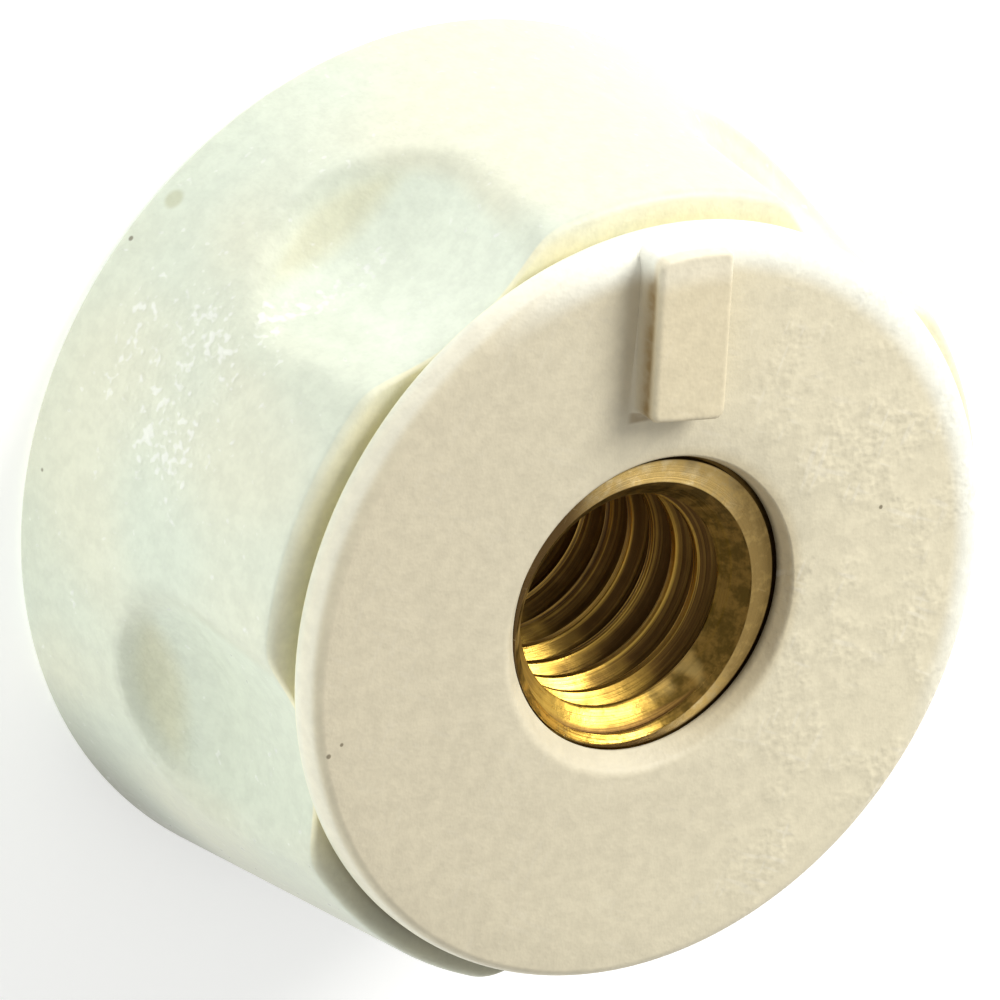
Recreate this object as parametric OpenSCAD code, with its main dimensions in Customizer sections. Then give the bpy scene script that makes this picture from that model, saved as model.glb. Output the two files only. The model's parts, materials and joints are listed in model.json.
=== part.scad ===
// Hand-turned adjusting nut: a moulded knob with finger dents round its side, a
// front disc that carries a raised pointer key, and a threaded metal insert that
// the knob is moulded round. The nut stands on its flat back. Its axis is +Z and
// the key lies on the +Y side.

/* [Body] */
// Height of the disc's face above the flat back
knob_h = 17.3; // [14.4:0.1:21]
// Diameter of the flat back, before its edge is rounded
back_d = 35; // [30:0.5:42]
// Rounding of the back's edge
back_edge_r = 0.5; // [0.1:0.05:1]
// How far the body's front shoulder stands out past the disc
ledge_w = 0.87; // [0.2:0.01:2]
// Rounding of the shoulder's edge
shoulder_edge_r = 0.3; // [0.1:0.05:0.6]

/* [Front disc] */
// Diameter of the disc
disc_d = 30; // [26:0.1:36]
// Thickness of the disc
disc_t = 1.3; // [1.3:0.05:2]
// Rounding of the disc's front edge
disc_edge_r = 1.2; // [0.2:0.05:1.25]
// Height of the groove between the disc and the shoulder
groove_h = 0.55; // [0.2:0.05:1]
// How far the groove cuts in from the disc's edge
groove_depth = 1.4; // [1:0.05:2.5]

/* [Finger dents] */
// Number of dents round the body
dent_count = 5; // [3:1:6]
// Angle from the key to the next dent, anticlockwise seen from the front
dent_turn = 33; // [0:0.5:72]
// Radius of a dent's hollow, seen along the axis
dent_r = 9.75; // [8:0.05:11.7]
// How far the disc's edge overhangs a dent's floor
dent_overhang = 0.75; // [0.3:0.05:0.95]
// How far a dent's far end lies below the disc's face
dent_len = 11.7; // [9.5:0.1:13.5]
// Radius of a dent's far end, seen from the side
dent_end_r = 4.5; // [3:0.1:6]

/* [Pointer key] */
// Width of the key
key_w = 3.25; // [2:0.05:5]
// Height of the key above the disc's face
key_h = 1.35; // [0.8:0.05:2]
// Length of the key
key_len = 6.7; // [4:0.1:7.2]
// How far the key's outer end is set in from the disc's edge
key_inset = 0.15; // [0.1:0.05:0.4]
// Angle by which the key's two ends are off square to its sides
key_skew = 7; // [0:1:12]
// Rounding of the key's top edges
key_edge_r = 0.35; // [0.1:0.05:0.6]

/* [Threaded insert] */
// Nominal diameter of the thread
thread_d = 10; // [8:1:12]
// Pitch of the thread
thread_pitch = 1.5; // [1:0.25:1.75]
// Metal from the thread's outer diameter to the outside of the insert
insert_wall = 2; // [1.6:0.1:3]
// How far the insert's front end is set in from the disc's face
insert_set = 0.8; // [0.8:0.05:2]
// How far each mouth of the thread opens past the thread's outer diameter
mouth_w = 0.25; // [0:0.05:0.4]
// How far the knob's moulding laps over the insert's front end
lap_w = 1.1; // [0.5:0.05:1.2]
// How far the insert lies off the knob's axis, across the key
insert_x = -0.45; // [-0.5:0.05:0.5]
// How far the insert lies off the knob's axis, towards the key
insert_y = -0.35; // [-0.5:0.05:0.5]
// Rounding of the moulding's edge round the hole
lip_r = 0.75; // [0.2:0.05:0.8]
// Width of the retaining groove round the insert
retain_w = 3; // [1:0.5:5]
// Depth of the retaining groove
retain_depth = 0.7; // [0.3:0.05:1]

/* [Hidden] */
$fn = 96;
arc_steps = 10;
over = 1;
disc_r = disc_d / 2;
disc_back_z = knob_h - disc_t;
shoulder_z = disc_back_z - groove_h;
shoulder_r = disc_r + ledge_w;
back_r = back_d / 2;
taper = atan((back_r - shoulder_r) / shoulder_z);
neck_r = disc_r - groove_depth;
dent_floor_r = disc_r - dent_overhang;
dent_axis_r = dent_floor_r + dent_r;
dent_end_axis_r = dent_floor_r + dent_end_r;
dent_end_z = knob_h - dent_len + dent_end_r;
key_outer_r = disc_r - key_inset;
key_inner_r = key_outer_r - key_len;
key_mid_r = (key_outer_r + key_inner_r) / 2;
key_top_z = knob_h + key_h;
insert_h = knob_h - insert_set;
insert_r = thread_d / 2 + insert_wall;
hole_r = insert_r - lap_w;
minor_r = thread_d / 2 - 0.5413 * thread_pitch;
mouth_r = thread_d / 2 + mouth_w;

// Points along a round stretch of an outline, from angle a0 to angle a1
function arc(centre, r, a0, a1) =
    [for (i = [0:arc_steps]) let (a = a0 + (a1 - a0) * i / arc_steps)
        centre + r * [cos(a), sin(a)]];

// Half outline of a turned blank that is rounded at its top edge only
module blank_outline(r, z0, z1, edge_r) {
    polygon(concat([[0, z0], [r, z0]],
                   arc([r - edge_r, z1 - edge_r], edge_r, 0, 90),
                   [[0, z1]]));
}

// Tapered body with its back and shoulder edges rounded to meet the taper
module body_blank() {
    back_arc_r = back_r - back_edge_r * (1 + sin(taper)) / cos(taper);
    shoulder_arc_z = shoulder_z - shoulder_edge_r;
    shoulder_arc_r = back_r - (shoulder_edge_r + shoulder_arc_z * sin(taper)) / cos(taper);
    rotate_extrude()
        polygon(concat([[0, 0]],
                       arc([back_arc_r, back_edge_r], back_edge_r, -90, taper),
                       arc([shoulder_arc_r, shoulder_arc_z], shoulder_edge_r, taper, 90),
                       [[0, shoulder_z]]));
}

// Hollow for a finger: round along the axis, with a barrel for its far end
module finger_dent() {
    translate([dent_axis_r, 0, dent_end_z])
        cylinder(r = dent_r, h = knob_h - dent_end_z);
    translate([dent_end_axis_r, 0, dent_end_z])
        rotate([90, 0, 0])
            rotate_extrude()
                intersection() {
                    translate([dent_end_r - dent_r, 0])
                        circle(r = dent_r);
                    translate([0, -dent_r])
                        square([dent_end_r, 2 * dent_r]);
                }
}

module finger_dents() {
    for (i = [0:dent_count - 1])
        rotate([0, 0, 90 + dent_turn + i * 360 / dent_count])
            finger_dent();
}

module front_disc() {
    translate([0, 0, shoulder_z - over])
        cylinder(r = neck_r, h = groove_h + over + disc_t / 2);
    rotate_extrude()
        blank_outline(disc_r, disc_back_z, knob_h, disc_edge_r);
}

// The key's outline across its width, with both top edges rounded
module key_section() {
    side = key_w / 2 - key_edge_r;
    arc_z = key_top_z - key_edge_r;
    polygon(concat([[-key_w / 2, disc_back_z], [key_w / 2, disc_back_z]],
                   arc([side, arc_z], key_edge_r, 0, 90),
                   arc([-side, arc_z], key_edge_r, 90, 180)));
}

// The key's outline along its length, as seen from the side
module key_side() {
    arc_z = key_top_z - key_edge_r;
    polygon(concat([[key_inner_r, disc_back_z], [key_outer_r, disc_back_z]],
                   arc([key_outer_r - key_edge_r, arc_z], key_edge_r, 0, 90),
                   arc([key_inner_r + key_edge_r, arc_z], key_edge_r, 90, 180)));
}

// Radial bar with skewed ends, trimmed to stay inside the disc's edge
module pointer_key() {
    intersection() {
        translate([0, disc_r, 0])
            rotate([90, 0, 0])
                linear_extrude(height = disc_r)
                    key_section();
        translate([0, key_mid_r, 0])
            rotate([0, 0, -key_skew])
                translate([-key_w, -key_mid_r, 0])
                    rotate([90, 0, 90])
                        linear_extrude(height = 2 * key_w)
                            key_side();
        rotate_extrude()
            blank_outline(key_outer_r, disc_back_z, key_top_z, key_edge_r);
    }
}

// Hole through the moulding in front of the insert, with a rounded lip
module lip_hole() {
    rotate_extrude()
        polygon(concat([[0, insert_h - lip_r], [hole_r, insert_h - lip_r]],
                       arc([hole_r + lip_r, knob_h - lip_r], lip_r, 180, 90),
                       [[hole_r + lip_r, key_top_z + over], [0, key_top_z + over]]));
}

// Carries what belongs to the insert to where the insert lies
module at_insert() {
    translate([insert_x, insert_y, 0])
        children();
}

// Outside of the insert, which is also the pocket that the moulding leaves for it
module insert_blank() {
    retain_z = (insert_h - retain_w) / 2;
    rotate_extrude()
        polygon([[0, 0], [insert_r, 0],
                 [insert_r, retain_z], [insert_r - retain_depth, retain_z],
                 [insert_r - retain_depth, retain_z + retain_w], [insert_r, retain_z + retain_w],
                 [insert_r, insert_h], [0, insert_h]]);
}

module knob() {
    color("ivory")
        difference() {
            union() {
                difference() {
                    body_blank();
                    finger_dents();
                }
                front_disc();
                pointer_key();
            }
            at_insert()
                insert_blank();
            lip_hole();
        }
}

// The thread is a plain bore at its minor diameter, with a 45 degree mouth at each end
module insert() {
    mouth_h = mouth_r - minor_r;
    color("goldenrod")
        at_insert()
            difference() {
                insert_blank();
                translate([0, 0, -over])
                    cylinder(r = minor_r, h = insert_h + 2 * over);
                cylinder(r1 = mouth_r, r2 = minor_r, h = mouth_h);
                translate([0, 0, insert_h - mouth_h])
                    cylinder(r1 = minor_r, r2 = mouth_r, h = mouth_h);
            }
}

knob();
insert();
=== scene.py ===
import json
import math

import bmesh
import bpy
import numpy as np
from mathutils import Matrix, Vector


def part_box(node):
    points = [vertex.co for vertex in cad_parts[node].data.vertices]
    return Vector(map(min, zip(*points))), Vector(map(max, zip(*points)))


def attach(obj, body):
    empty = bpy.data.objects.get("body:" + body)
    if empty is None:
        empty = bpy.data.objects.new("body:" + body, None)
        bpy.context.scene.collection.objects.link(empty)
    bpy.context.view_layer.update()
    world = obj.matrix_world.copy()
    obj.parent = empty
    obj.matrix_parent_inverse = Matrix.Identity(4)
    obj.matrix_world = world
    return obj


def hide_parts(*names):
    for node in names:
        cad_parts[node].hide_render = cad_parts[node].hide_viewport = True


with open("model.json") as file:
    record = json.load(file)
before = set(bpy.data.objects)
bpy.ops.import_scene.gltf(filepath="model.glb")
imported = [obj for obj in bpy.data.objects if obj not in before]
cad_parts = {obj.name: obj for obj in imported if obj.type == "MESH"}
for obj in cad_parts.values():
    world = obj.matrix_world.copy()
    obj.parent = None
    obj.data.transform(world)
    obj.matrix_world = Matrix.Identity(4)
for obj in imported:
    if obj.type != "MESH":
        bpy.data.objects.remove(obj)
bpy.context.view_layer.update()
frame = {"nodes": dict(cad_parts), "record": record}
scene = bpy.context.scene
mm = 0.001
print("frame loaded:", ", ".join(frame["nodes"]))

threadMount = next(mount for mount in frame["record"]["mounts"] if mount["name"] == "thread")
threadX, threadY = threadMount["pos_m"][:2]
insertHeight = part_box("insert")[1].z
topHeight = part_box("knob")[1].z


def newNode(tree, kind, **settings):
    node = tree.nodes.new(kind)
    for name, value in settings.items():
        setattr(node, name, value)
    return node


def feed(tree, target, value):
    # a socket is linked, anything else is set as the socket's own value
    if isinstance(value, bpy.types.NodeSocket):
        tree.links.new(value, target)
    else:
        target.default_value = value


def calc(tree, operation, *values):
    node = newNode(tree, "ShaderNodeMath", operation=operation)
    for socket, value in zip(node.inputs, values):
        feed(tree, socket, value)
    return node.outputs[0]


def times(tree, first, *others):
    for other in others:
        first = calc(tree, "MULTIPLY", first, other)
    return first


def plus(tree, first, *others):
    for other in others:
        first = calc(tree, "ADD", first, other)
    return first


def minus(tree, first, second):
    return calc(tree, "SUBTRACT", first, second)


def larger(tree, first, *others):
    for other in others:
        first = calc(tree, "MAXIMUM", first, other)
    return first


def planLength(tree, x, y):
    return calc(tree, "SQRT", plus(tree, times(tree, x, x), times(tree, y, y)))


def otherLeg(tree, long, leg):
    # of a right-angled triangle, and 0 where the leg is the longer
    return calc(tree, "SQRT", larger(tree, minus(tree, times(tree, long, long), times(tree, leg, leg)), 0))


def partsOf(tree, vector):
    node = newNode(tree, "ShaderNodeSeparateXYZ")
    feed(tree, node.inputs[0], vector)
    return node.outputs


def joined(tree, *parts):
    node = newNode(tree, "ShaderNodeCombineXYZ")
    for socket, part in zip(node.inputs, parts):
        feed(tree, socket, part)
    return node.outputs[0]


def geometryTree(name, inputs):
    tree = bpy.data.node_groups.new(name, "GeometryNodeTree")
    tree.interface.new_socket("Geometry", in_out="INPUT", socket_type="NodeSocketGeometry")
    tree.interface.new_socket("Geometry", in_out="OUTPUT", socket_type="NodeSocketGeometry")
    for label, kind in inputs:
        tree.interface.new_socket(label, in_out="INPUT", socket_type="NodeSocket" + kind)
    return tree, newNode(tree, "NodeGroupInput"), newNode(tree, "NodeGroupOutput")


def runTree(obj, tree, values):
    # puts the tree on the object, bakes the result into a plain mesh and takes the tree off again
    modifier = obj.modifiers.new(tree.name, "NODES")
    modifier.node_group = tree
    for item in tree.interface.items_tree:
        if item.in_out == "INPUT" and item.name in values:
            modifier[item.identifier] = values[item.name]
    bakeModifiers(obj)


def bakeModifiers(obj):
    bpy.context.view_layer.update()
    graph = bpy.context.evaluated_depsgraph_get()
    mesh = bpy.data.meshes.new_from_object(
        obj.evaluated_get(graph), preserve_all_data_layers=True, depsgraph=graph)
    old = obj.data
    obj.modifiers.clear()
    obj.data = mesh
    mesh.name = obj.name
    bpy.data.meshes.remove(old)


def meshObject(name, points, faces):
    mesh = bpy.data.meshes.new(name)
    mesh.from_pydata(points, [], faces)
    obj = bpy.data.objects.new(name, mesh)
    scene.collection.objects.link(obj)
    return obj


def cleanMesh(obj, sharpAngle):
    # doubles first, then normals, then smooth shading that stops at real edges
    work = bmesh.new()
    work.from_mesh(obj.data)
    bmesh.ops.remove_doubles(work, verts=work.verts, dist=0.0005 * mm)
    bmesh.ops.dissolve_degenerate(work, edges=work.edges, dist=0.0005 * mm)
    bmesh.ops.recalc_face_normals(work, faces=work.faces)
    work.to_mesh(obj.data)
    work.free()
    obj.data.shade_smooth()
    obj.data.set_sharp_from_angle(angle=math.radians(sharpAngle))


def arcRows(centreR, centreZ, radius, start, end, steps):
    angles = [math.radians(start + (end - start) * i / steps) for i in range(steps + 1)]
    return [(centreR + radius * math.cos(a), centreZ + radius * math.sin(a)) for a in angles]


def turned(name, rows, columns, closed):
    # rows of (radius, height, x, y): each is one ring of the turned shape, centred on x, y
    angles = [2 * math.pi * i / columns for i in range(columns)]
    points = [(x + r * math.cos(a), y + r * math.sin(a), z) for r, z, x, y in rows for a in angles]
    count = len(rows)
    faces = []
    for row in range(count if closed else count - 1):
        here, there = row * columns, (row + 1) % count * columns
        for i in range(columns):
            j = (i + 1) % columns
            faces.append((here + i, here + j, there + j, there + i))
    return meshObject(name, points, faces)


knob = {
    "keyHeight": 1.35 * mm,
    "backRadius": 17.5 * mm, "backEdge": 0.5 * mm,
    "shoulderRadius": 15.87 * mm, "shoulderDrop": 1.85 * mm, "shoulderEdge": 0.4 * mm,
    "neckRadius": 13.6 * mm,
    "discRadius": 15 * mm, "discThickness": 1.3 * mm,
    "rimWidth": 0.85 * mm, "rimHeight": 0.95 * mm, "rimShift": (-0.3 * mm, -0.27 * mm),
    "holeRadius": 5.9 * mm, "lipWidth": 0.45 * mm, "lipDepth": 0.72 * mm, "lipSoft": 0.6 * mm,
    "lipShift": (-0.21 * mm, -0.16 * mm),
    "pocketRadius": 7 * mm, "retainDepth": 0.7 * mm, "retainWidth": 3 * mm,
    "columns": 480, "plainRows": 3, "dentRows": 62, "shoulderRows": 5,
    "backSteps": 6, "shoulderSteps": 5, "rimSteps": 14, "lipSteps": 4,
    "faceRows": (12.5 * mm, 10.5 * mm, 8.5 * mm),
}
dents = {
    "count": 5, "firstAngle": 123, "hollowRadius": 9.75 * mm, "floorRadius": 14.25 * mm,
    "endRadius": 4.5 * mm, "endDrop": 7.2 * mm, "softness": 0.95 * mm,
}
faceHeight = topHeight - knob["keyHeight"]
shoulderHeight = faceHeight - knob["shoulderDrop"]
taper = math.atan2(knob["backRadius"] - knob["shoulderRadius"], shoulderHeight)
endHeight = faceHeight - dents["endDrop"]
insertShift = (threadX, threadY)


def sideRadius(height):
    return knob["backRadius"] - height * math.tan(taper)


def knobRows():
    # the outline from the pocket for the insert, round the back, up the side, over the disc and into the hole
    pocket, hole = knob["pocketRadius"], knob["holeRadius"]
    retainR = pocket - knob["retainDepth"]
    retainLow = (insertHeight - knob["retainWidth"]) / 2
    retainHigh = retainLow + knob["retainWidth"]
    rows = [(r, z, *insertShift) for r, z in (
        (pocket, insertHeight), (pocket, retainHigh), (retainR, retainHigh),
        (retainR, retainLow), (pocket, retainLow), (pocket, 0))]
    back, edge = knob["backEdge"], knob["shoulderEdge"]
    taperDegrees = math.degrees(taper)
    backArcR = knob["backRadius"] - back * (1 + math.sin(taper)) / math.cos(taper)
    shoulderArcZ = shoulderHeight - edge
    shoulderArcR = knob["backRadius"] - (edge + shoulderArcZ * math.sin(taper)) / math.cos(taper)
    outline = arcRows(backArcR, back, back, -90, taperDegrees, knob["backSteps"])
    dentLow = endHeight - dents["endRadius"] - dents["softness"]
    sideStart, sideEnd = outline[-1][1], shoulderArcZ + edge * math.sin(taper)
    heights = list(np.linspace(sideStart, dentLow, knob["plainRows"], endpoint=False)[1:])
    heights += list(np.linspace(dentLow, sideEnd, knob["dentRows"], endpoint=False))
    outline += [(sideRadius(z), z) for z in heights]
    outline += arcRows(shoulderArcR, shoulderArcZ, edge, taperDegrees, 90, knob["shoulderSteps"])
    ledge = np.linspace(shoulderArcR, knob["neckRadius"], knob["shoulderRows"])
    outline += [(r, shoulderHeight) for r in ledge[1:]]
    discBack, disc = faceHeight - knob["discThickness"], knob["discRadius"]
    chamfer = (0.06 * mm, 0.04 * mm)
    outline += [(knob["neckRadius"], discBack), (disc - chamfer[0], discBack), (disc, discBack + chamfer[1])]
    rows += [(r, z, 0, 0) for r, z in outline]
    # the rim is rounded more on one side, and so is the hole's lip: their rings slide off the axis
    roundedRim = arcRows(0, 0, 1, 0, 90, knob["rimSteps"])
    rows += shiftedRows(roundedRim, disc, -knob["rimWidth"], knob["rimHeight"], knob["rimShift"])
    # over the face that shift fades out towards the hole
    for r in knob["faceRows"]:
        share = (r - 6 * mm) / (9 * mm)
        rows.append((r, faceHeight, knob["rimShift"][0] * share, knob["rimShift"][1] * share))
    # the lip: an arc that ends at 45 degrees, then a straight slope down to a small edge
    soft = knob["lipSoft"] / knob["lipDepth"]
    slope = arcRows(1 + soft * 0.41, 1 - soft, soft, 90, 135, knob["lipSteps"]) + [(0.03, 0.04), (0, 0)]
    lip = [(1 - r, h) for r, h in slope]
    rows += shiftedRows(lip, hole, knob["lipWidth"], knob["lipDepth"], knob["lipShift"])
    return rows + [(hole, insertHeight, 0, 0)]


def shiftedRows(profile, radius, width, height, shift):
    # profile runs from (1, 0) at the wall to (0, 1) on the face; the rings' centre slides with it
    return [(radius + width * (1 - r), faceHeight - height * (1 - h), shift[0] * (1 - r), shift[1] * (1 - r))
            for r, h in profile]


def dentTree():
    # moves the side's points in to the nearest finger dent: a round hollow with a barrel-shaped end
    tree, source, result = geometryTree("fingerDents", [
        ("Dents", "Int"), ("First Angle", "Float"), ("Hollow Radius", "Float"), ("Floor Radius", "Float"),
        ("End Radius", "Float"), ("End Height", "Float"), ("Softness", "Float"), ("Back Radius", "Float"),
        ("Taper", "Float"), ("Shoulder Radius", "Float"), ("Neck Radius", "Float"),
        ("Shoulder Height", "Float"), ("Material", "Material")])
    given = source.outputs
    x, y, z = partsOf(tree, newNode(tree, "GeometryNodeInputPosition").outputs[0])
    radius = planLength(tree, x, y)
    sector = calc(tree, "DIVIDE", 2 * math.pi, given["Dents"])
    half = calc(tree, "DIVIDE", sector, 2)
    start = minus(tree, given["First Angle"], half)
    turn = minus(tree, calc(tree, "ARCTAN2", y, x), start)
    angle = minus(tree, calc(tree, "FLOORED_MODULO", turn, sector), half)
    side = minus(tree, given["Back Radius"], times(tree, z, given["Taper"]))
    across = times(tree, side, calc(tree, "SINE", angle))
    bow = otherLeg(tree, given["Hollow Radius"], across)
    reach = plus(tree, minus(tree, given["End Radius"], given["Hollow Radius"]), bow)
    reach = larger(tree, reach, 0)
    below = calc(tree, "MINIMUM", minus(tree, z, given["End Height"]), 0)
    depth = otherLeg(tree, reach, below)
    axis = plus(tree, given["Floor Radius"], given["End Radius"])
    dent = calc(tree, "DIVIDE", minus(tree, axis, depth), calc(tree, "COSINE", angle))
    pressed = calc(tree, "SMOOTH_MIN", side, dent, given["Softness"])
    moved = minus(tree, pressed, side)
    # the shoulder's flat ring follows the side less and less towards the neck
    ring = newNode(tree, "ShaderNodeMapRange")
    feed(tree, ring.inputs["Value"], radius)
    feed(tree, ring.inputs["From Min"], given["Neck Radius"])
    feed(tree, ring.inputs["From Max"], given["Shoulder Radius"])
    moved = times(tree, moved, ring.outputs[0])
    scale = calc(tree, "DIVIDE", plus(tree, radius, moved), radius)
    justAbove = plus(tree, given["Shoulder Height"], 0.01 * mm)
    onBody = calc(tree, "LESS_THAN", z, justAbove)
    outside = calc(tree, "GREATER_THAN", radius, given["Neck Radius"])
    pressedIn = joined(tree, times(tree, x, scale), times(tree, y, scale), z)
    move = newNode(tree, "GeometryNodeSetPosition")
    feed(tree, move.inputs["Geometry"], given["Geometry"])
    feed(tree, move.inputs["Selection"], times(tree, onBody, outside))
    feed(tree, move.inputs["Position"], pressedIn)
    finishTree(tree, move.outputs[0], given["Material"], result)
    return tree


def storeAttribute(tree, geometry, name, kind, value):
    store = newNode(tree, "GeometryNodeStoreNamedAttribute", data_type=kind, domain="POINT")
    feed(tree, store.inputs["Geometry"], geometry)
    feed(tree, store.inputs["Name"], name)
    feed(tree, store.inputs["Value"], value)
    return store.outputs[0]


def finishTree(tree, geometry, material, result):
    realize = newNode(tree, "GeometryNodeRealizeInstances")
    paint = newNode(tree, "GeometryNodeSetMaterial")
    feed(tree, realize.inputs[0], geometry)
    feed(tree, paint.inputs["Geometry"], realize.outputs[0])
    feed(tree, paint.inputs["Material"], material)
    feed(tree, result.inputs[0], paint.outputs[0])


key = {
    "width": 3.25 * mm, "length": 6.7 * mm, "inset": 0.15 * mm, "skew": 7,
    "topEdge": 0.24 * mm, "corner": 0.4 * mm, "draft": 0.05 * mm, "fillet": 0.22 * mm, "buried": 1.1 * mm,
    "cornerSteps": 6, "edgeSteps": 6, "filletSteps": 5,
}


def discSurface(x, y):
    # height of the disc's face or rounded rim at a place in plan
    across = knob["discRadius"] - knob["rimWidth"]
    reach = math.hypot(x - knob["rimShift"][0], y - knob["rimShift"][1]) - across
    part = min(max(reach / (knob["discRadius"] - across + abs(knob["rimShift"][1])), 0), 1)
    return faceHeight - knob["rimHeight"] * (1 - math.sqrt(1 - part ** 2))


def keyOutline():
    # corners of the key in plan, anticlockwise: a skewed inner end, an outer end along the disc's edge
    half, outer = key["width"] / 2, knob["discRadius"] - key["inset"]
    middle, reach = outer - key["length"] / 2, key["length"] / 2 / math.cos(math.radians(key["skew"]))
    slope = math.tan(math.radians(key["skew"]))
    corners = [(-half, middle - reach + half * slope), (half, middle - reach - half * slope)]
    for x in (half, half / 3, -half / 3, -half):
        corners.append((x, min(math.sqrt(outer ** 2 - x ** 2), middle + reach - x * slope)))
    return corners


def roundedLoop(corners, radius, steps):
    # points round a convex outline with rounded corners, each with its outward direction
    loop = []
    for i, corner in enumerate(corners):
        here = Vector(corner)
        before = (Vector(corners[i - 1]) - here).normalized()
        after = (Vector(corners[(i + 1) % len(corners)]) - here).normalized()
        half = before.angle(after) / 2
        centre = here + (before + after).normalized() * radius / math.sin(half)
        first = Vector((before.y, -before.x))
        last = Vector((-after.y, after.x))
        first = first if first.dot(centre - here) < 0 else -first
        last = last if last.dot(centre - here) < 0 else -last
        for step in range(steps + 1):
            normal = first.lerp(last, step / steps).normalized()
            loop.append((centre + normal * radius, normal))
    return loop


def makeKey():
    loop = roundedLoop(keyOutline(), key["corner"], key["cornerSteps"])
    edge, top, skirt = key["topEdge"], topHeight, 0.06 * mm
    arcs = [math.radians(90 * i / key["edgeSteps"]) for i in range(key["edgeSteps"] + 1)]
    bends = [math.radians(90 * i / key["filletSteps"]) for i in range(key["filletSteps"] + 1)]
    flat = knob["discRadius"] - knob["rimWidth"] - 0.4 * mm
    rings = [[(p - n * (edge + skirt), top) for p, n in loop]]
    for a in arcs:
        inward, height = edge * math.sin(a) - edge, top - edge + edge * math.cos(a)
        rings.append([(p + n * inward, height) for p, n in loop])
    for bend in bends:
        ring = []
        for p, n in loop:
            # the fillet runs out where the rim falls away
            fillet = key["fillet"] * min(max((flat - p.length) / key["fillet"], 0.05), 1)
            spot = p + n * (key["draft"] * bend + fillet * (1 - math.cos(bend)))
            ring.append((spot, discSurface(*spot) + fillet * (1 - math.sin(bend))))
        rings.append(ring)
    rings.append([(spot, z - skirt) for spot, z in rings[-1]])
    rings.append([(p - n * key["corner"], faceHeight - key["buried"]) for p, n in loop])
    count = len(loop)
    points = [(spot.x, spot.y, z) for ring in rings for spot, z in ring]
    faces = [tuple(reversed(range(count))), tuple(range(len(points) - count, len(points)))]
    for row in range(len(rings) - 1):
        for i in range(count):
            j = (i + 1) % count
            faces.append((row * count + i, row * count + j, (row + 1) * count + j, (row + 1) * count + i))
    keyBar = meshObject("keyBar", points, faces)
    cleanMesh(keyBar, 180)
    return keyBar


def makeKnob(material):
    body = turned("knobMoulding", knobRows(), knob["columns"], closed=True)
    runTree(body, dentTree(), {
        "Dents": dents["count"], "First Angle": math.radians(dents["firstAngle"]),
        "Hollow Radius": dents["hollowRadius"], "Floor Radius": dents["floorRadius"],
        "End Radius": dents["endRadius"], "End Height": endHeight, "Softness": dents["softness"],
        "Back Radius": knob["backRadius"], "Taper": math.tan(taper),
        "Shoulder Radius": knob["shoulderRadius"], "Neck Radius": knob["neckRadius"],
        "Shoulder Height": shoulderHeight, "Material": material})
    cleanMesh(body, 180)
    keyBar = makeKey()
    union = body.modifiers.new("joinKey", "BOOLEAN")
    union.operation = "UNION"
    union.solver = "EXACT"
    union.object = keyBar
    bakeModifiers(body)
    bpy.data.objects.remove(keyBar)
    cleanMesh(body, 32)
    return body


insert = {
    "outerRadius": 7 * mm, "retainDepth": 0.7 * mm, "retainWidth": 3 * mm, "mouthRadius": 5.25 * mm,
    "minorRadius": threadMount["dims"]["r_mm"] * mm, "majorRadius": 5 * mm, "pitch": 1.5 * mm,
    "crestWidth": 0.3 * mm, "flankLength": 0.5 * mm, "softness": 0.12,
    "gapRadius": 5.8 * mm, "gapDepth": 0.3 * mm, "gapShift": (-0.06 * mm, -0.03 * mm),
    "columns": 144, "rowsPerTurn": 32, "turns": 13,
}


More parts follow.
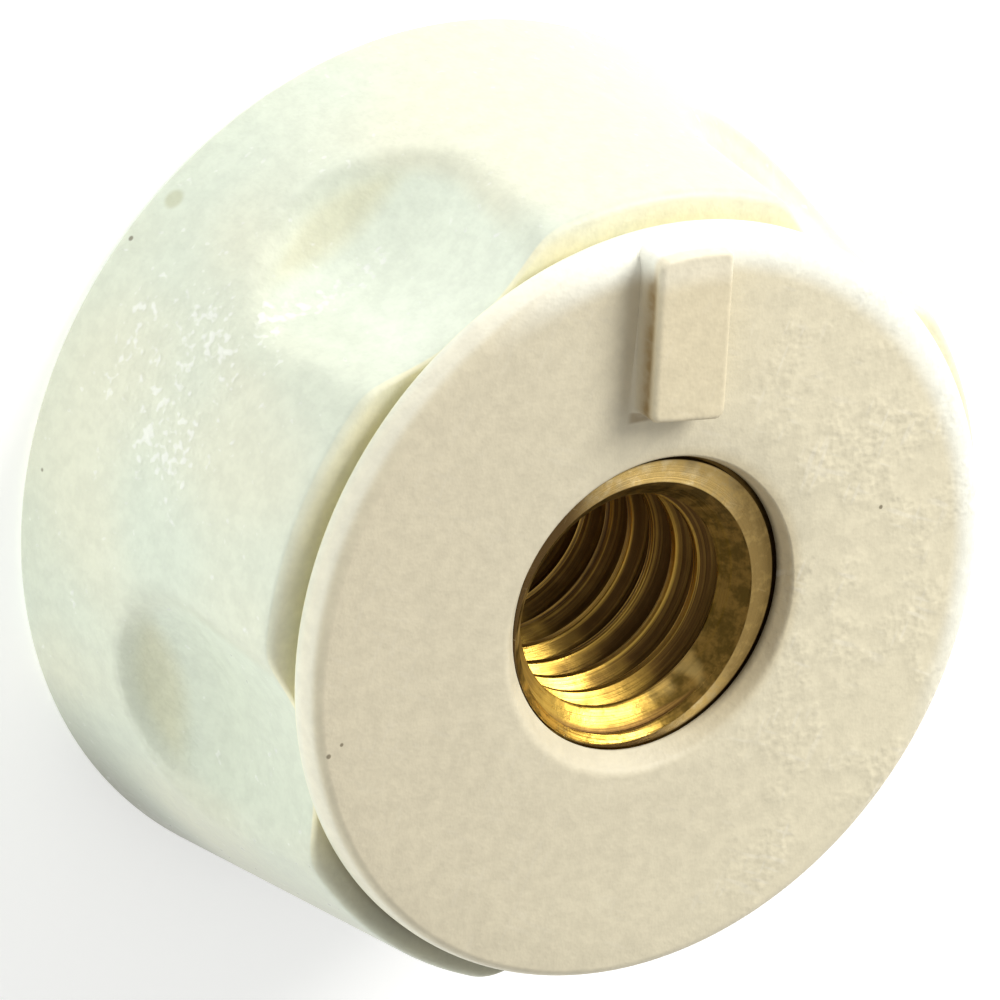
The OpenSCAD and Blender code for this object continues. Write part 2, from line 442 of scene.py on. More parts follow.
def threadTree():
    # a grid wound into a helix: every row follows one line of the thread, so the crests stay crisp
    tree, source, result = geometryTree("helicalThread", [
        ("Columns", "Int"), ("Rows per Turn", "Int"), ("Turns", "Int"), ("Pitch", "Float"),
        ("Minor Radius", "Float"), ("Major Radius", "Float"), ("Crest Width", "Float"),
        ("Flank Length", "Float"), ("Softness", "Float"), ("Height", "Float"),
        ("Mouth Radius", "Float"), ("Centre", "Vector"), ("Material", "Material")])
    given = source.outputs
    grid = newNode(tree, "GeometryNodeMeshGrid")
    rows = times(tree, given["Turns"], given["Rows per Turn"])
    feed(tree, grid.inputs["Vertices X"], plus(tree, given["Columns"], 1))
    feed(tree, grid.inputs["Vertices Y"], plus(tree, rows, 1))
    gridX, gridY = partsOf(tree, newNode(tree, "GeometryNodeInputPosition").outputs[0])[:2]
    around = plus(tree, gridX, 0.5)
    turn = times(tree, plus(tree, gridY, 0.5), given["Turns"])
    phase = calc(tree, "FRACT", plus(tree, turn, 0.0001))  # a hair on, so no row rounds down a turn
    fromMiddle = calc(tree, "ABSOLUTE", minus(tree, phase, 0.5))
    fromCrest = times(tree, fromMiddle, given["Pitch"])
    climb = minus(tree, fromCrest, times(tree, given["Crest Width"], 0.5))
    climb = calc(tree, "DIVIDE", climb, given["Flank Length"])
    climb = calc(tree, "SMOOTH_MAX", climb, 0, given["Softness"])
    climb = calc(tree, "SMOOTH_MIN", climb, 1, given["Softness"])
    cut = minus(tree, given["Major Radius"], given["Minor Radius"])
    wall = plus(tree, given["Minor Radius"], times(tree, climb, cut))
    turnsUp = plus(tree, minus(tree, turn, 1), around)
    height = times(tree, turnsUp, given["Pitch"])
    height = larger(tree, calc(tree, "MINIMUM", height, given["Height"]), 0)
    lowMouth = minus(tree, given["Mouth Radius"], height)
    highMouth = minus(tree, given["Mouth Radius"], minus(tree, given["Height"], height))
    mouth = larger(tree, lowMouth, highMouth)
    wall = calc(tree, "SMOOTH_MAX", wall, mouth, 0.1 * mm)
    angle = times(tree, around, 2 * math.pi)
    wallX = times(tree, wall, calc(tree, "COSINE", angle))
    wallY = times(tree, wall, calc(tree, "SINE", angle))
    centred = newNode(tree, "ShaderNodeVectorMath", operation="ADD")
    feed(tree, centred.inputs[0], joined(tree, wallX, wallY, height))
    feed(tree, centred.inputs[1], given["Centre"])
    # the material reads the depth below the crest, and a place that runs slowly along the thread
    place = joined(tree, times(tree, phase, 6), times(tree, plus(tree, turn, around), 0.6), climb)
    marked = storeAttribute(tree, grid.outputs["Mesh"], "threadDepth", "FLOAT", climb)
    marked = storeAttribute(tree, marked, "threadPlace", "FLOAT_VECTOR", place)
    move = newNode(tree, "GeometryNodeSetPosition")
    feed(tree, move.inputs["Geometry"], marked)
    feed(tree, move.inputs["Position"], centred.outputs[0])
    both = newNode(tree, "GeometryNodeJoinGeometry")
    feed(tree, both.inputs[0], move.outputs[0])
    feed(tree, both.inputs[0], given["Geometry"])
    merge = newNode(tree, "GeometryNodeMergeByDistance")
    feed(tree, merge.inputs["Geometry"], both.outputs[0])
    feed(tree, merge.inputs["Distance"], 0.002 * mm)
    finishTree(tree, merge.outputs[0], given["Material"], result)
    return tree


def makeInsert(material):
    outer, retainR = insert["outerRadius"], insert["outerRadius"] - insert["retainDepth"]
    low = (insertHeight - insert["retainWidth"]) / 2
    high = low + insert["retainWidth"]
    step = insertHeight - insert["gapDepth"]
    gapX, gapY = insert["gapShift"]
    outline = [(insert["mouthRadius"], insertHeight), (outer, step), (outer, high), (retainR, high),
               (retainR, low), (outer, low), (outer, 0), (insert["mouthRadius"], 0)]
    rows = [(r, z, threadX, threadY) for r, z in outline]
    # a narrow gap round the ring, under the moulding's lap
    gap = insert["gapRadius"]
    rows[1:1] = [(gap - 0.04 * mm, insertHeight, gapX, gapY), (gap, step, gapX, gapY)]
    shell = turned("brassInsert", rows, insert["columns"], closed=False)
    runTree(shell, threadTree(), {
        "Columns": insert["columns"], "Rows per Turn": insert["rowsPerTurn"], "Turns": insert["turns"],
        "Pitch": insert["pitch"], "Minor Radius": insert["minorRadius"],
        "Major Radius": insert["majorRadius"], "Crest Width": insert["crestWidth"],
        "Flank Length": insert["flankLength"], "Softness": insert["softness"],
        "Height": insertHeight, "Mouth Radius": insert["mouthRadius"], "Centre": (threadX, threadY, 0),
        "Material": material})
    cleanMesh(shell, 35)
    return shell


def effectGroup(name, inputs, outputs):
    tree = bpy.data.node_groups.new(name, "ShaderNodeTree")
    for label, value in inputs:
        kind = "NodeSocketColor" if isinstance(value, tuple) else "NodeSocketFloat"
        socket = tree.interface.new_socket(label, in_out="INPUT", socket_type=kind)
        socket.default_value = value
    for label, kind in outputs:
        tree.interface.new_socket(label, in_out="OUTPUT", socket_type=kind)
    return tree, newNode(tree, "NodeGroupInput").outputs, newNode(tree, "NodeGroupOutput").inputs


def useGroup(tree, group, **values):
    node = newNode(tree, "ShaderNodeGroup", node_tree=group)
    for label, value in values.items():
        feed(tree, node.inputs[label], value)
    return node.outputs


def stepUp(tree, value, low, high):
    # 0 below low, 1 above high, eased between them; low above high turns it round
    node = newNode(tree, "ShaderNodeMapRange", interpolation_type="SMOOTHSTEP")
    for socket, given in zip(node.inputs, (value, low, high)):
        feed(tree, socket, given)
    return node.outputs[0]


def within(tree, value, low, high, soft):
    # 1 between low and high, fading out over soft on both sides
    above, below = stepUp(tree, value, low - soft, low), stepUp(tree, value, high + soft, high)
    return times(tree, above, below)


def noise(tree, place, size, detail, rough=0.55):
    # size is the width of one blotch in metres, or in the place's own unit
    node = newNode(tree, "ShaderNodeTexNoise")
    feed(tree, node.inputs["Vector"], place)
    for label, value in (("Scale", 1 / size), ("Detail", detail), ("Roughness", rough)):
        feed(tree, node.inputs[label], value)
    return node.outputs[0]


def blend(tree, amount, first, second):
    node = newNode(tree, "ShaderNodeMix", data_type="RGBA")
    feed(tree, node.inputs[0], amount)
    for socket, value in ((node.inputs[6], first), (node.inputs[7], second)):
        feed(tree, socket, (*value, 1) if isinstance(value, tuple) else value)
    return node.outputs[2]


def bumped(tree, shader, height, strength, distance):
    bump = newNode(tree, "ShaderNodeBump")
    feed(tree, bump.inputs["Strength"], strength)
    feed(tree, bump.inputs["Distance"], distance)
    feed(tree, bump.inputs["Height"], height)
    feed(tree, shader.inputs["Normal"], bump.outputs[0])


def distanceTo(tree, place, azimuth, reach, height):
    # from the spot at an azimuth in degrees from +X, a distance from the axis and a height
    gap = newNode(tree, "ShaderNodeVectorMath", operation="DISTANCE")
    a = math.radians(azimuth)
    feed(tree, gap.inputs[0], place)
    feed(tree, gap.inputs[1], (reach * math.cos(a), reach * math.sin(a), height))
    return gap.outputs["Value"]


def tintGroup():
    # blotchy tint: a colour comes in where the mask is strong, with a broken edge
    grey = (0.5, 0.5, 0.5, 1)
    tree, given, result = effectGroup("brokenTint", [
        ("Base", grey), ("Stain", grey), ("Mask", 1.0), ("Blotch", 0.5), ("Break", 0.5)],
        [("Colour", "NodeSocketColor")])
    patch = stepUp(tree, given["Blotch"], 0.3, 0.68)
    keep = minus(tree, 1, times(tree, given["Break"], minus(tree, 1, patch)))
    strength = times(tree, given["Mask"], keep)
    feed(tree, result["Colour"], blend(tree, strength, given["Base"], given["Stain"]))
    return tree


def scratchGroup():
    # short straight strokes in two directions, that come and go in patches
    tree, given, result = effectGroup("fineScratches", [
        ("Length", 2 * mm), ("Width", 0.1 * mm), ("Patch", 0.5)], [("Lines", "NodeSocketFloat")])
    place = newNode(tree, "ShaderNodeTexCoord").outputs["Object"]
    strokes = []
    for angle in (25, 112):
        spun = newNode(tree, "ShaderNodeVectorRotate", rotation_type="Z_AXIS")
        feed(tree, spun.inputs["Vector"], place)
        spun.inputs["Angle"].default_value = math.radians(angle)
        sizes = [calc(tree, "DIVIDE", 1, given[label]) for label in ("Length", "Width", "Length")]
        scaled = newNode(tree, "ShaderNodeVectorMath", operation="MULTIPLY")
        feed(tree, scaled.inputs[0], spun.outputs[0])
        feed(tree, scaled.inputs[1], joined(tree, *sizes))
        strokes.append(stepUp(tree, noise(tree, scaled.outputs[0], 1, detail=0), 0.66, 0.78))
    patches = stepUp(tree, given["Patch"], 0.46, 0.6)
    feed(tree, result["Lines"], times(tree, larger(tree, *strokes), patches))
    return tree


brokenTint = tintGroup()
fineScratches = scratchGroup()


def tinted(tree, colour, tint, mask, blotch, broken):
    return useGroup(tree, brokenTint, Base=colour, Stain=(*tint, 1), Mask=mask, Blotch=blotch,
                    Break=broken)["Colour"]


def newMaterial(name):
    material = bpy.data.materials.new(name)
    material.use_nodes = True
    tree = material.node_tree
    return material, tree, tree.nodes["Principled BSDF"]


def objectPlace(tree):
    # object coordinates, their parts, and the distance from the knob's axis
    place = newNode(tree, "ShaderNodeTexCoord").outputs["Object"]
    x, y, z = partsOf(tree, place)
    return place, x, y, z, planLength(tree, x, y)


# several of these colours paint light and shade: the lit flank top, the face's lit side, the rim's highlight,
# the hollows' tones, the band in the step, the lip, the under and grime tones, and the glints' white
ivoryLook = {
    "flank": (0.67, 0.725, 0.615), "flankWarm": (0.73, 0.74, 0.6), "flankLitTop": (0.67, 0.655, 0.53),
    "face": (0.71, 0.64, 0.47), "faceLitSide": (0.8, 0.73, 0.535), "rim": (0.96, 0.965, 0.87),
    "band": (0.92, 0.88, 0.63), "keyTop": (0.79, 0.68, 0.45), "lip": (0.62, 0.52, 0.32),
    "hollow": (0.77, 0.83, 0.71), "hollowSide": (0.67, 0.72, 0.6), "hollowEnd": (0.72, 0.725, 0.55),
    "under": (0.2, 0.2, 0.15), "grimeAndShade": (0.27, 0.18, 0.07), "speck": (0.13, 0.1, 0.05),
    "smudge": (0.42, 0.42, 0.22), "scuffAndGlintWhite": (1.0, 1.0, 1.0),
}
# blotch widths of the noises that the ivory's tints, relief and painted glints share
ivoryGrain = {"broad": 9 * mm, "patchy": 2.3 * mm, "mottle": 0.75 * mm, "grain": 0.2 * mm, "chips": 0.42 * mm}
# where each tint of the ivory starts and where it is full
ivoryReach = {
    "onFace": (shoulderHeight + 0.2 * mm, faceHeight - 0.7 * mm),
    "warm": (0.38, 0.66),
    "top": (9 * mm, 16 * mm),
    "hollow": (0.25 * mm, 0.9 * mm),
    "hollowSide": (2 * mm, -5 * mm),
    "farEnd": (endHeight - 4.8 * mm, endHeight - 3.1 * mm),
    "lowSide": (-3 * mm, -13 * mm), "lowest": (-9.5 * mm, -13.5 * mm),
    "dullAcross": (3.2 * mm, 5.6 * mm), "dullAlong": (6 * mm, 9 * mm),
    "dullHeight": (endHeight - 3.5 * mm, endHeight - 0.5 * mm),
    "lowSideShade": (-5 * mm, -12 * mm), "foot": (7 * mm, 0.2 * mm),
    "light": (-2 * mm, 18 * mm),
    "rimSide": (3 * mm, 13 * mm), "rimWide": (-0.6 * mm, 0.3 * mm),
    "rimDrop": (faceHeight - 0.12 * mm, faceHeight - 0.42 * mm), "rimEdge": (14 * mm, 14.3 * mm),
    "keyTop": (faceHeight + 0.7 * mm, topHeight - 0.3 * mm),
    "step": (16.3 * mm, 15.2 * mm), "stepDeep": (15.25 * mm, 14.7 * mm),
    "beyond": (-2 * mm, 3.5 * mm), "lip": (6.75 * mm, 5.95 * mm), "seam": (6.15 * mm, 6 * mm),
    "worn": (0, 8 * mm), "wornPatch": (0.4, 0.6), "scratched": (0, 7 * mm),
    "mottle": (0.3, 0.7), "flakePatch": (0.42, 0.62),
}
# how much of the surface each tint covers where it is full
ivoryAmount = {
    "lowSide": 0.15, "lowest": 0.16, "dull": 0.7, "farEnd": 0.45, "foot": 0.85, "rim": 0.85, "rimPlain": 0.45,
    "keyTop": 0.6, "step": 0.6, "lip": 0.75, "seam": 0.75, "wall": 0.82, "wallFoot": 0.2, "innerEnd": 0.6,
    "speck": 0.75, "smudge": 0.45, "scratch": 0.1, "scuffAndGlintWhite": 0.42,
}
# dark specks: azimuth, distance from the axis, height, size
specks = [
    (140, 17.4, 0.75, 0.1), (171, 17.3, 1.25, 0.09), (257, 17.4, 0.5, 0.12), (192, 14.5, 17.3, 0.09),
    (191, 13.9, 17.3, 0.07), (13, 10.2, 17.3, 0.08), (196, 16.6, 8, 0.08), (312, 16.8, 6, 0.1),
    (28, 17, 3.5, 0.08),
]
smudge = (133, 17.3, 1.25, 0.38)  # an olive smear near the back edge, measured the same way
# the rough, sparkling part of the side: middle in degrees from +X, and height
roughPatch = {"angle": 152, "height": 7 * mm, "spread": 5 * mm}


def nearness(tree, place, mark):
    # 1 at a mark on the surface, fading out past its size
    azimuth, reach, height, size = mark
    gap = distanceTo(tree, place, azimuth, reach * mm, height * mm)
    return stepUp(tree, gap, size * 1.4 * mm, size * 0.7 * mm)


def sideTone(tree, where, broad, lowSideShade):
    # the flank with its hollows, with painted light and shade: a lit tint on the top, lighter hollows, and
    # shade in the first dent, low down and at the foot
    look, reach, amount = ivoryLook, ivoryReach, ivoryAmount
    x, y, z, radius = where[1:]
    colour = blend(tree, stepUp(tree, broad, *reach["warm"]), look["flank"], look["flankWarm"])
    # painted highlight tone: the upper side, towards the key lamp, is tinted yellower
    upper = plus(tree, times(tree, x, 0.6), times(tree, y, 0.8))
    colour = blend(tree, stepUp(tree, upper, *reach["top"]), colour, look["flankLitTop"])
    # painted light and shade: the hollows are lighter than the flank, and darker towards -Y
    side = minus(tree, knob["backRadius"], times(tree, z, math.tan(taper)))
    hollow = stepUp(tree, minus(tree, side, radius), *reach["hollow"])
    hollowTone = blend(tree, stepUp(tree, y, *reach["hollowSide"]), look["hollow"], look["hollowSide"])
    colour = blend(tree, hollow, colour, hollowTone)
    # painted shade, darker towards -Y
    shade = [times(tree, stepUp(tree, y, *reach[name]), amount[name]) for name in ("lowSide", "lowest")]
    colour = blend(tree, plus(tree, *shade), colour, look["under"])
    # painted shade on one side of the first dent
    leftward = plus(tree, times(tree, x, -0.84), times(tree, y, -0.54))
    dull = times(tree, within(tree, leftward, *reach["dullAcross"], 1.4 * mm),
                 stepUp(tree, y, *reach["dullAlong"]), stepUp(tree, z, *reach["dullHeight"]))
    colour = blend(tree, times(tree, dull, amount["dull"]), colour, look["hollowSide"])
    # painted shade: a khaki tone on the walls at the dents' far ends
    farEnd = times(tree, hollow, within(tree, z, *reach["farEnd"], 1 * mm))
    farEnd = times(tree, farEnd, plus(tree, amount["farEnd"], broad))
    colour = blend(tree, farEnd, colour, look["hollowEnd"])
    # painted shade at the foot, on the low side
    foot = times(tree, lowSideShade, stepUp(tree, z, *reach["foot"]))
    return blend(tree, times(tree, foot, amount["foot"]), colour, look["under"])


def discTone(tree, where, colour, broad, onFace):
    # the face, painted lighter towards the lamp side, the rim's painted highlight and the key's top
    look, reach, amount = ivoryLook, ivoryReach, ivoryAmount
    x, y, z, radius = where[1:]
    # painted light: the face grows lighter, unevenly, towards +X, the lamp side
    across = plus(tree, x, times(tree, broad, 12 * mm))
    face = blend(tree, stepUp(tree, across, *reach["light"]), look["face"], look["faceLitSide"])
    colour = blend(tree, onFace, colour, face)
    # painted highlight on the rim, strongest and widest on the lamp side
    rimX, rimY = (minus(tree, value, shift) for value, shift in zip((x, y), knob["rimShift"]))
    fromFlat = minus(tree, planLength(tree, rimX, rimY), knob["discRadius"] - knob["rimWidth"])
    strong = stepUp(tree, plus(tree, x, y), *reach["rimSide"])
    wide = times(tree, stepUp(tree, fromFlat, *reach["rimWide"]), strong)
    plain = amount["rimPlain"]
    uneven = plus(tree, plain, times(tree, strong, 1 - plain))
    narrow = times(tree, stepUp(tree, z, *reach["rimDrop"]), uneven, stepUp(tree, radius, *reach["rimEdge"]))
    discBack = faceHeight - knob["discThickness"]
    rim = times(tree, larger(tree, wide, narrow), stepUp(tree, z, discBack - 0.1 * mm, discBack))
    colour = blend(tree, times(tree, rim, amount["rim"]), colour, look["rim"])
    onKey = stepUp(tree, z, *reach["keyTop"])
    return blend(tree, times(tree, onKey, amount["keyTop"]), colour, look["keyTop"])


def lipTone(tree, where, colour):
    # painted shade and grime: a dark edge where the lip meets the insert, on the side away from the lower lip
    look, reach, amount = ivoryLook, ivoryReach, ivoryAmount
    x, y, z, radius = where[1:]
    nearInsert = stepUp(tree, z, insertHeight - 0.1 * mm, insertHeight)
    beyond = stepUp(tree, plus(tree, x, times(tree, y, 0.4)), *reach["beyond"])
    soft = times(tree, stepUp(tree, radius, *reach["lip"]), nearInsert, beyond, amount["lip"])
    colour = blend(tree, soft, colour, look["lip"])
    seam = times(tree, stepUp(tree, z, insertHeight + 0.35 * mm, insertHeight + 0.05 * mm),
                 stepUp(tree, radius, *reach["seam"]), nearInsert, beyond, amount["seam"])
    return blend(tree, seam, colour, look["speck"])


def keyGrimeAndShadeMask(tree, where):
    # grime and painted shade along one side of the key, and at its inner end
    x, y, z = where[1:4]
    left, innerEnd = -key["width"] / 2, knob["discRadius"] - key["inset"] - key["length"]
    rise = stepUp(tree, z, faceHeight, faceHeight + 0.9 * mm)
    wall = times(tree, stepUp(tree, x, left - 0.75 * mm, left - 0.3 * mm),
                 stepUp(tree, x, left + 0.25 * mm, left + 0.08 * mm),
                 within(tree, y, innerEnd + 0.5 * mm, knob["discRadius"] - 1.4 * mm, 0.9 * mm),
                 stepUp(tree, z, faceHeight - 0.3 * mm, faceHeight - 0.1 * mm),
                 stepUp(tree, z, topHeight - 0.05 * mm, topHeight - 0.45 * mm),
                 plus(tree, ivoryAmount["wallFoot"], rise), ivoryAmount["wall"])
    inner = times(tree, within(tree, x, left, -left * 0.2, 0.3 * mm),
                  within(tree, y, innerEnd - 0.2 * mm, innerEnd + 0.1 * mm, 0.15 * mm),
                  stepUp(tree, z, topHeight - 0.3 * mm, topHeight - 0.9 * mm))
    return larger(tree, wall, times(tree, inner, ivoryAmount["innerEnd"]))


def glintMasks(tree, where, patchy, chips):
    # painted glints, white flecks standing in for sparkle highlights: thick in the rough patch and along the
    # bottom of the first dent's far end, thin elsewhere
    place, z = where[0], where[3]
    height, spread = roughPatch["height"], roughPatch["spread"]
    fromPatch = distanceTo(tree, place, roughPatch["angle"], sideRadius(height), height)
    rough = stepUp(tree, fromPatch, spread * 1.3, spread * 0.3)
    fromBend = distanceTo(tree, place, dents["firstAngle"] + 9, 15 * mm, endHeight - 1.2 * mm)
    valley = times(tree, within(tree, z, endHeight - 1.5 * mm, endHeight - 0.9 * mm, 0.5 * mm),
                   stepUp(tree, fromBend, 4.2 * mm, 2.2 * mm))
    patches = stepUp(tree, patchy, *ivoryReach["flakePatch"])
    thin = times(tree, patches, plus(tree, 0.2, times(tree, rough, 0.35)))
    cover = plus(tree, times(tree, rough, 0.55), times(tree, valley, 0.85), thin)
    edge = minus(tree, 0.72, times(tree, cover, 0.22))
    onSide = stepUp(tree, z, shoulderHeight - 0.1 * mm, shoulderHeight - 1 * mm)
    glints = times(tree, stepUp(tree, chips, edge, plus(tree, edge, 0.12)), onSide)
    return rough, glints


def ivoryMaterial():
    material, tree, shader = newMaterial("ivoryPlastic")
    look, reach, amount, size = ivoryLook, ivoryReach, ivoryAmount, ivoryGrain
    where = objectPlace(tree)
    place, x, y, z, radius = where
    broad = noise(tree, place, size["broad"], detail=1)
    patchy = noise(tree, place, size["patchy"], detail=1)
    mottle = noise(tree, place, size["mottle"], detail=2, rough=0.65)
    grain = noise(tree, place, size["grain"], detail=1, rough=0.6)
    chips = noise(tree, place, size["chips"], detail=1, rough=0.65)
    onFace = stepUp(tree, z, *reach["onFace"])
    # the low -Y side, where shade is painted
    lowSideShade = stepUp(tree, y, *reach["lowSideShade"])
    colour = sideTone(tree, where, broad, lowSideShade)
    colour = discTone(tree, where, colour, broad, onFace)
    # painted light and shade in the step behind the disc: the band colour lightens it, and it is darker
    # towards -Y, darkest deep in
    discBack = faceHeight - knob["discThickness"]
    inStep = times(tree, within(tree, z, shoulderHeight - 0.12 * mm, discBack, 0.12 * mm),
                   stepUp(tree, radius, *reach["step"]))
    colour = tinted(tree, colour, look["band"], inStep, patchy, 0.25)
    deep = times(tree, inStep, stepUp(tree, radius, *reach["stepDeep"]))
    colour = blend(tree, times(tree, inStep, lowSideShade, amount["step"]), colour, look["under"])
    colour = blend(tree, times(tree, deep, lowSideShade, amount["step"]), colour, look["grimeAndShade"])
    colour = lipTone(tree, where, colour)
    # grime and painted shade by the key
    keyGrimeAndShade = keyGrimeAndShadeMask(tree, where)
    colour = tinted(tree, colour, look["grimeAndShade"], keyGrimeAndShade, mottle, 0.25)
    # light and dark mottle, most on the worn part of the face
    wornPatch = stepUp(tree, patchy, *reach["wornPatch"])
    worn = times(tree, onFace, stepUp(tree, x, *reach["worn"]), wornPatch)
    shade = plus(tree, 0.94, times(tree, stepUp(tree, mottle, *reach["mottle"]), 0.08))
    shade = times(tree, shade, plus(tree, 0.965, times(tree, grain, 0.07)))
    shade = plus(tree, shade, times(tree, worn, minus(tree, chips, 0.5), 0.3))
    tone = newNode(tree, "ShaderNodeVectorMath", operation="SCALE")
    feed(tree, tone.inputs[0], colour)
    feed(tree, tone.inputs["Scale"], shade)
    colour = tone.outputs[0]
    # specks, the smudge, scuffs and painted glints
    dots = larger(tree, *(nearness(tree, place, mark) for mark in specks))
    colour = blend(tree, times(tree, dots, amount["speck"]), colour, look["speck"])
    smear = times(tree, nearness(tree, place, smudge), amount["smudge"])
    colour = blend(tree, smear, colour, look["smudge"])
    scratch = useGroup(tree, fineScratches, Length=1.5 * mm, Width=0.2 * mm, Patch=patchy)["Lines"]
    handled = times(tree, stepUp(tree, x, *reach["scratched"]), 0.75)
    scratch = times(tree, scratch, plus(tree, 0.25, handled))
    colour = blend(tree, times(tree, scratch, amount["scratch"]), colour, look["scuffAndGlintWhite"])
    rough, glints = glintMasks(tree, where, patchy, chips)
    # painted highlight: white glints
    colour = blend(tree, times(tree, glints, amount["scuffAndGlintWhite"]), colour, look["scuffAndGlintWhite"])
    feed(tree, shader.inputs["Base Color"], colour)
    # gloss: the side shines more than the matt face, and the grime and painted shade are dull
    gloss = plus(tree, 0.36, times(tree, onFace, 0.16), times(tree, minus(tree, mottle, 0.5), 0.3))
    gloss = minus(tree, gloss, times(tree, glints, 0.15))
    gloss = plus(tree, gloss, times(tree, larger(tree, keyGrimeAndShade, inStep), 0.2))
    feed(tree, shader.inputs["Roughness"], gloss)
    # moulded surface: a soft grain and fine pits
    height = plus(tree, times(tree, mottle, 0.4), times(tree, grain, 0.3),
                  times(tree, chips, larger(tree, rough, worn), 1.5))
    bumped(tree, shader, height, 0.55, 0.09 * mm)
    return material


# gold and ring also paint light on the side that faces the key lamp, and gap also paints shade
brassLook = {
    "gold": (0.82, 0.52, 0.1), "oxide": (0.15, 0.075, 0.016), "olive": (0.36, 0.21, 0.045),
    "cone": (0.12, 0.07, 0.008), "ring": (0.85, 0.59, 0.2), "ringLight": (0.97, 0.76, 0.38),
    "ringDark": (0.42, 0.28, 0.09), "gap": (0.13, 0.07, 0.015),
}
# blotch widths of the brass's noises: two on the metal, one along the thread
brassGrain = {"mottle": 0.7 * mm, "blotch": 2.2 * mm, "streak": 0.45}
# where each tint of the brass starts and where it is full
brassReach = {
    "lampSideGold": (0.5, 1.05), "crest": (0.22, 0.04), "crestStreak": (0.38, 0.58), "root": (0.92, 0.6),
    "oxide": (0.42, 0.7), "worked": (0.38, 0.66), "tanSide": (-0.2, 0.5), "tanBlotch": (0.45, 0.6),
    "litPatches": (0.36, 0.56), "ring": (0.42, 0.66), "ringBlotch": (0.42, 0.58),
    "ringSide": (2.2 * mm, 4.6 * mm), "beyond": (-2.5 * mm, 1.5 * mm),
}
# how much of the surface each covers where it is full
brassAmount = {
    "crest": 0.8, "worked": 0.6, "tan": 0.5, "litPatches": 0.5, "ringBlotch": 0.75, "ringSide": 1.25,
    "gap": 0.35, "gapBeyond": 0.5, "scratch": 0.2,
}


def mouthTone(tree, facing, lampSideGold, mottle, blotch):
    # the mouth's cone is smooth and olive; on the lamp side it is painted with light, tan, and gold in
    # patches
    look, reach, amount = brassLook, brassReach, brassAmount
    worked = times(tree, stepUp(tree, mottle, *reach["worked"]), amount["worked"])
    colour = blend(tree, worked, look["cone"], look["olive"])
    tan = times(tree, stepUp(tree, facing, *reach["tanSide"]), stepUp(tree, blotch, *reach["tanBlotch"]))
    colour = blend(tree, times(tree, tan, amount["tan"]), colour, look["ring"])
    litPatches = times(tree, lampSideGold, plus(tree, amount["litPatches"], stepUp(tree, mottle, *reach["litPatches"])))
    return blend(tree, litPatches, colour, look["gold"])


def ringTone(tree, x, beyond, mottle, blotch):
    # the end ring is tan and mottled, darker on one side; on the other it is painted the gap's dark colour,
    # as shade, so it is nearly hidden
    look, reach, amount = brassLook, brassReach, brassAmount
    colour = blend(tree, stepUp(tree, mottle, *reach["ring"]), look["ring"], look["ringLight"])
    dark = larger(tree, times(tree, stepUp(tree, blotch, *reach["ringBlotch"]), amount["ringBlotch"]),
                  times(tree, stepUp(tree, x, *reach["ringSide"]), amount["ringSide"]))
    colour = tinted(tree, colour, look["ringDark"], dark, mottle, 0.5)
    return blend(tree, beyond, look["gap"], colour)


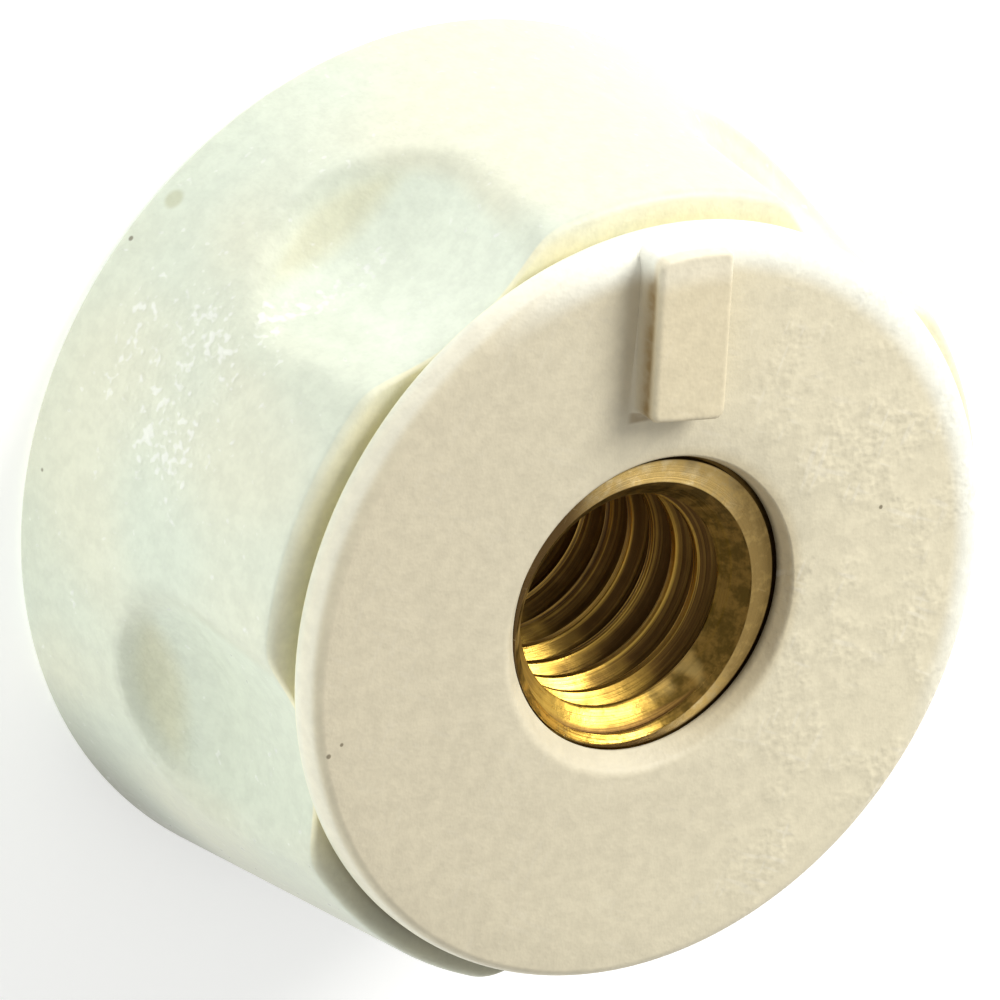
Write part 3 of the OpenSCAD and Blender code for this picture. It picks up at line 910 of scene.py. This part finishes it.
def brassMaterial():
    material, tree, shader = newMaterial("tarnishedBrass")
    look, reach, amount, size = brassLook, brassReach, brassAmount, brassGrain
    place, x, y, z, radius = objectPlace(tree)
    fromX, fromY = minus(tree, x, threadX), minus(tree, y, threadY)
    own = planLength(tree, fromX, fromY)
    depth = newNode(tree, "ShaderNodeAttribute", attribute_name="threadDepth").outputs["Fac"]
    lane = newNode(tree, "ShaderNodeAttribute", attribute_name="threadPlace").outputs["Vector"]
    mottle = noise(tree, place, size["mottle"], detail=3, rough=0.7)
    blotch = noise(tree, place, size["blotch"], detail=2, rough=0.6)
    streak = noise(tree, lane, size["streak"], detail=3, rough=0.7)
    # thread: gold on the crests, and painted light: gold on the side of the bore away from the key, which
    # faces the key lamp; brown oxide elsewhere
    facing = plus(tree, times(tree, fromX, -0.42), times(tree, fromY, -0.9))
    facing = calc(tree, "DIVIDE", facing, larger(tree, own, 1 * mm))
    uneven = times(tree, minus(tree, blotch, 0.5), 0.9)
    lampSideGold = stepUp(tree, plus(tree, facing, uneven), *reach["lampSideGold"])
    crest = times(tree, stepUp(tree, depth, *reach["crest"]), stepUp(tree, streak, *reach["crestStreak"]))
    oxide = blend(tree, stepUp(tree, streak, *reach["oxide"]), look["oxide"], look["olive"])
    # dirt stays in the bottom of the thread, even on the lamp side
    bright = larger(tree, times(tree, lampSideGold, stepUp(tree, depth, *reach["root"])),
                    times(tree, crest, amount["crest"]))
    colour = blend(tree, bright, oxide, look["gold"])
    mouth = insert["mouthRadius"]
    slant, thin = mouth - insertHeight, 0.03 * mm
    cone = within(tree, minus(tree, own, z), slant - thin, slant + thin, thin)
    colour = blend(tree, cone, colour, mouthTone(tree, facing, lampSideGold, mottle, blotch))
    ring = times(tree, stepUp(tree, z, insertHeight - 0.05 * mm, insertHeight - 0.01 * mm),
                 stepUp(tree, own, mouth - 0.02 * mm, mouth + 0.03 * mm))
    beyond = stepUp(tree, plus(tree, x, times(tree, y, 0.4)), *reach["beyond"])
    colour = blend(tree, ring, colour, ringTone(tree, x, beyond, mottle, blotch))
    # the joint round the ring is dark, and painted darker still, as shade, on the +X side
    edge = insert["gapRadius"]
    gap = stepUp(tree, radius, edge - 0.14 * mm, edge - 0.04 * mm)
    gap = times(tree, gap, plus(tree, amount["gap"], times(tree, beyond, amount["gapBeyond"])))
    colour = blend(tree, gap, colour, look["gap"])
    scratch = useGroup(tree, fineScratches, Length=1 * mm, Width=0.09 * mm, Patch=blotch)["Lines"]
    colour = blend(tree, times(tree, scratch, ring, amount["scratch"]), colour, look["ringLight"])
    feed(tree, shader.inputs["Base Color"], colour)
    # clean metal is bright and smooth, tarnish is duller
    clean = larger(tree, bright, times(tree, lampSideGold, cone))
    metal = minus(tree, plus(tree, 0.8, times(tree, clean, 0.2)), times(tree, ring, 0.15))
    feed(tree, shader.inputs["Metallic"], metal)
    dull = plus(tree, minus(tree, 0.5, times(tree, clean, 0.2)), times(tree, minus(tree, mottle, 0.5), 0.35))
    feed(tree, shader.inputs["Roughness"], dull)
    height = plus(tree, times(tree, mottle, 0.5), times(tree, streak, 0.8))
    bumped(tree, shader, height, 0.6, 0.07 * mm)
    return material


ivory = ivoryMaterial()
brass = brassMaterial()
print("materials made")

knobPiece = makeKnob(ivory)
print("knob made:", len(knobPiece.data.polygons), "faces")
insertPiece = makeInsert(brass)
print("insert made:", len(insertPiece.data.polygons), "faces")

for piece, node, slot in ((knobPiece, "knob", "ivory_plastic"), (insertPiece, "insert", "brass")):
    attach(piece, "root")
    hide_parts(node)


floorLook, floorTree, floorShader = newMaterial("paleFloor")
floorGrain = noise(floorTree, newNode(floorTree, "ShaderNodeTexCoord").outputs["Object"], 30 * mm, detail=2)
floorTone = blend(floorTree, floorGrain, (0.9, 0.9, 0.89), (0.93, 0.93, 0.925))
feed(floorTree, floorShader.inputs["Base Color"], floorTone)
floorShader.inputs["Roughness"].default_value = 0.85
floorShader.inputs["Emission Color"].default_value = (1, 1, 1, 1)
floorShader.inputs["Emission Strength"].default_value = 0.4
floorLook.cycles.emission_sampling = "NONE"
floor = meshObject("floor", [(-1, -1, 0), (1, -1, 0), (1, 1, 0), (-1, 1, 0)], [(0, 1, 2, 3)])
floor.data.materials.append(floorLook)

aim = Vector((-4.173, 3.481, 12.68)) * mm  # what the camera looks at
view = {"azimuth": 142.1, "elevation": 49.61, "distance": 0.37129, "roll": 123.79}
# a large lamp beyond the key, and a low strip that only reaches the side
lamps = {
    "keyLight": {"target": aim, "azimuth": 47, "elevation": 35, "distance": 0.4, "width": 0.22,
                 "height": 0.22, "power": 1.55, "colour": (1, 0.985, 0.94)},
    "sideStrip": {"target": Vector((0, 0, 5.5 * mm)), "azimuth": 188, "elevation": 0, "distance": 0.08,
                  "width": 0.15, "height": 0.009, "power": 0.019, "colour": (0.93, 1, 0.9)},
}


def aimed(obj, target, azimuth, elevation, distance, roll=0):
    # azimuth from +X towards +Y, elevation above the floor; the object looks at the target
    a, e, r = (math.radians(value) for value in (azimuth, elevation, roll))
    back = Vector((math.cos(a) * math.cos(e), math.sin(a) * math.cos(e), math.sin(e)))
    level = Vector((-math.sin(a), math.cos(a), 0))
    upright = back.cross(level)
    right = level * math.cos(r) + upright * math.sin(r)
    up = back.cross(right)
    turn = Matrix((right, up, back)).transposed().to_4x4()
    obj.matrix_world = Matrix.Translation(target + back * distance) @ turn


def softLight(name, target, azimuth, elevation, distance, width, height, power, colour):
    light = bpy.data.lights.new(name, "AREA")
    light.shape = "RECTANGLE"
    light.size = width
    light.size_y = height
    light.energy = power
    light.color = colour
    obj = bpy.data.objects.new(name, light)
    scene.collection.objects.link(obj)
    aimed(obj, target, azimuth, elevation, distance)


for name, lamp in lamps.items():
    softLight(name, **lamp)

scene.world = bpy.data.worlds.new("studio")
scene.world.use_nodes = True
sky = scene.world.node_tree
# the sky is brightest at the horizon
heading = partsOf(sky, newNode(sky, "ShaderNodeTexCoord").outputs["Generated"])
backdrop = sky.nodes["Background"]
backdrop.inputs["Color"].default_value = (1, 1, 1, 1)
strength = minus(sky, 0.66, times(sky, calc(sky, "ABSOLUTE", heading[2]), 0.26))
feed(sky, backdrop.inputs["Strength"], strength)
scene.view_settings.view_transform = "Standard"

cameraData = bpy.data.cameras.new("camera")
cameraData.lens = 360
cameraData.sensor_width = 36
cameraData.clip_start = 0.01
camera = bpy.data.objects.new("camera", cameraData)
scene.collection.objects.link(camera)
aimed(camera, aim, **view)
scene.camera = camera
print("stage set")
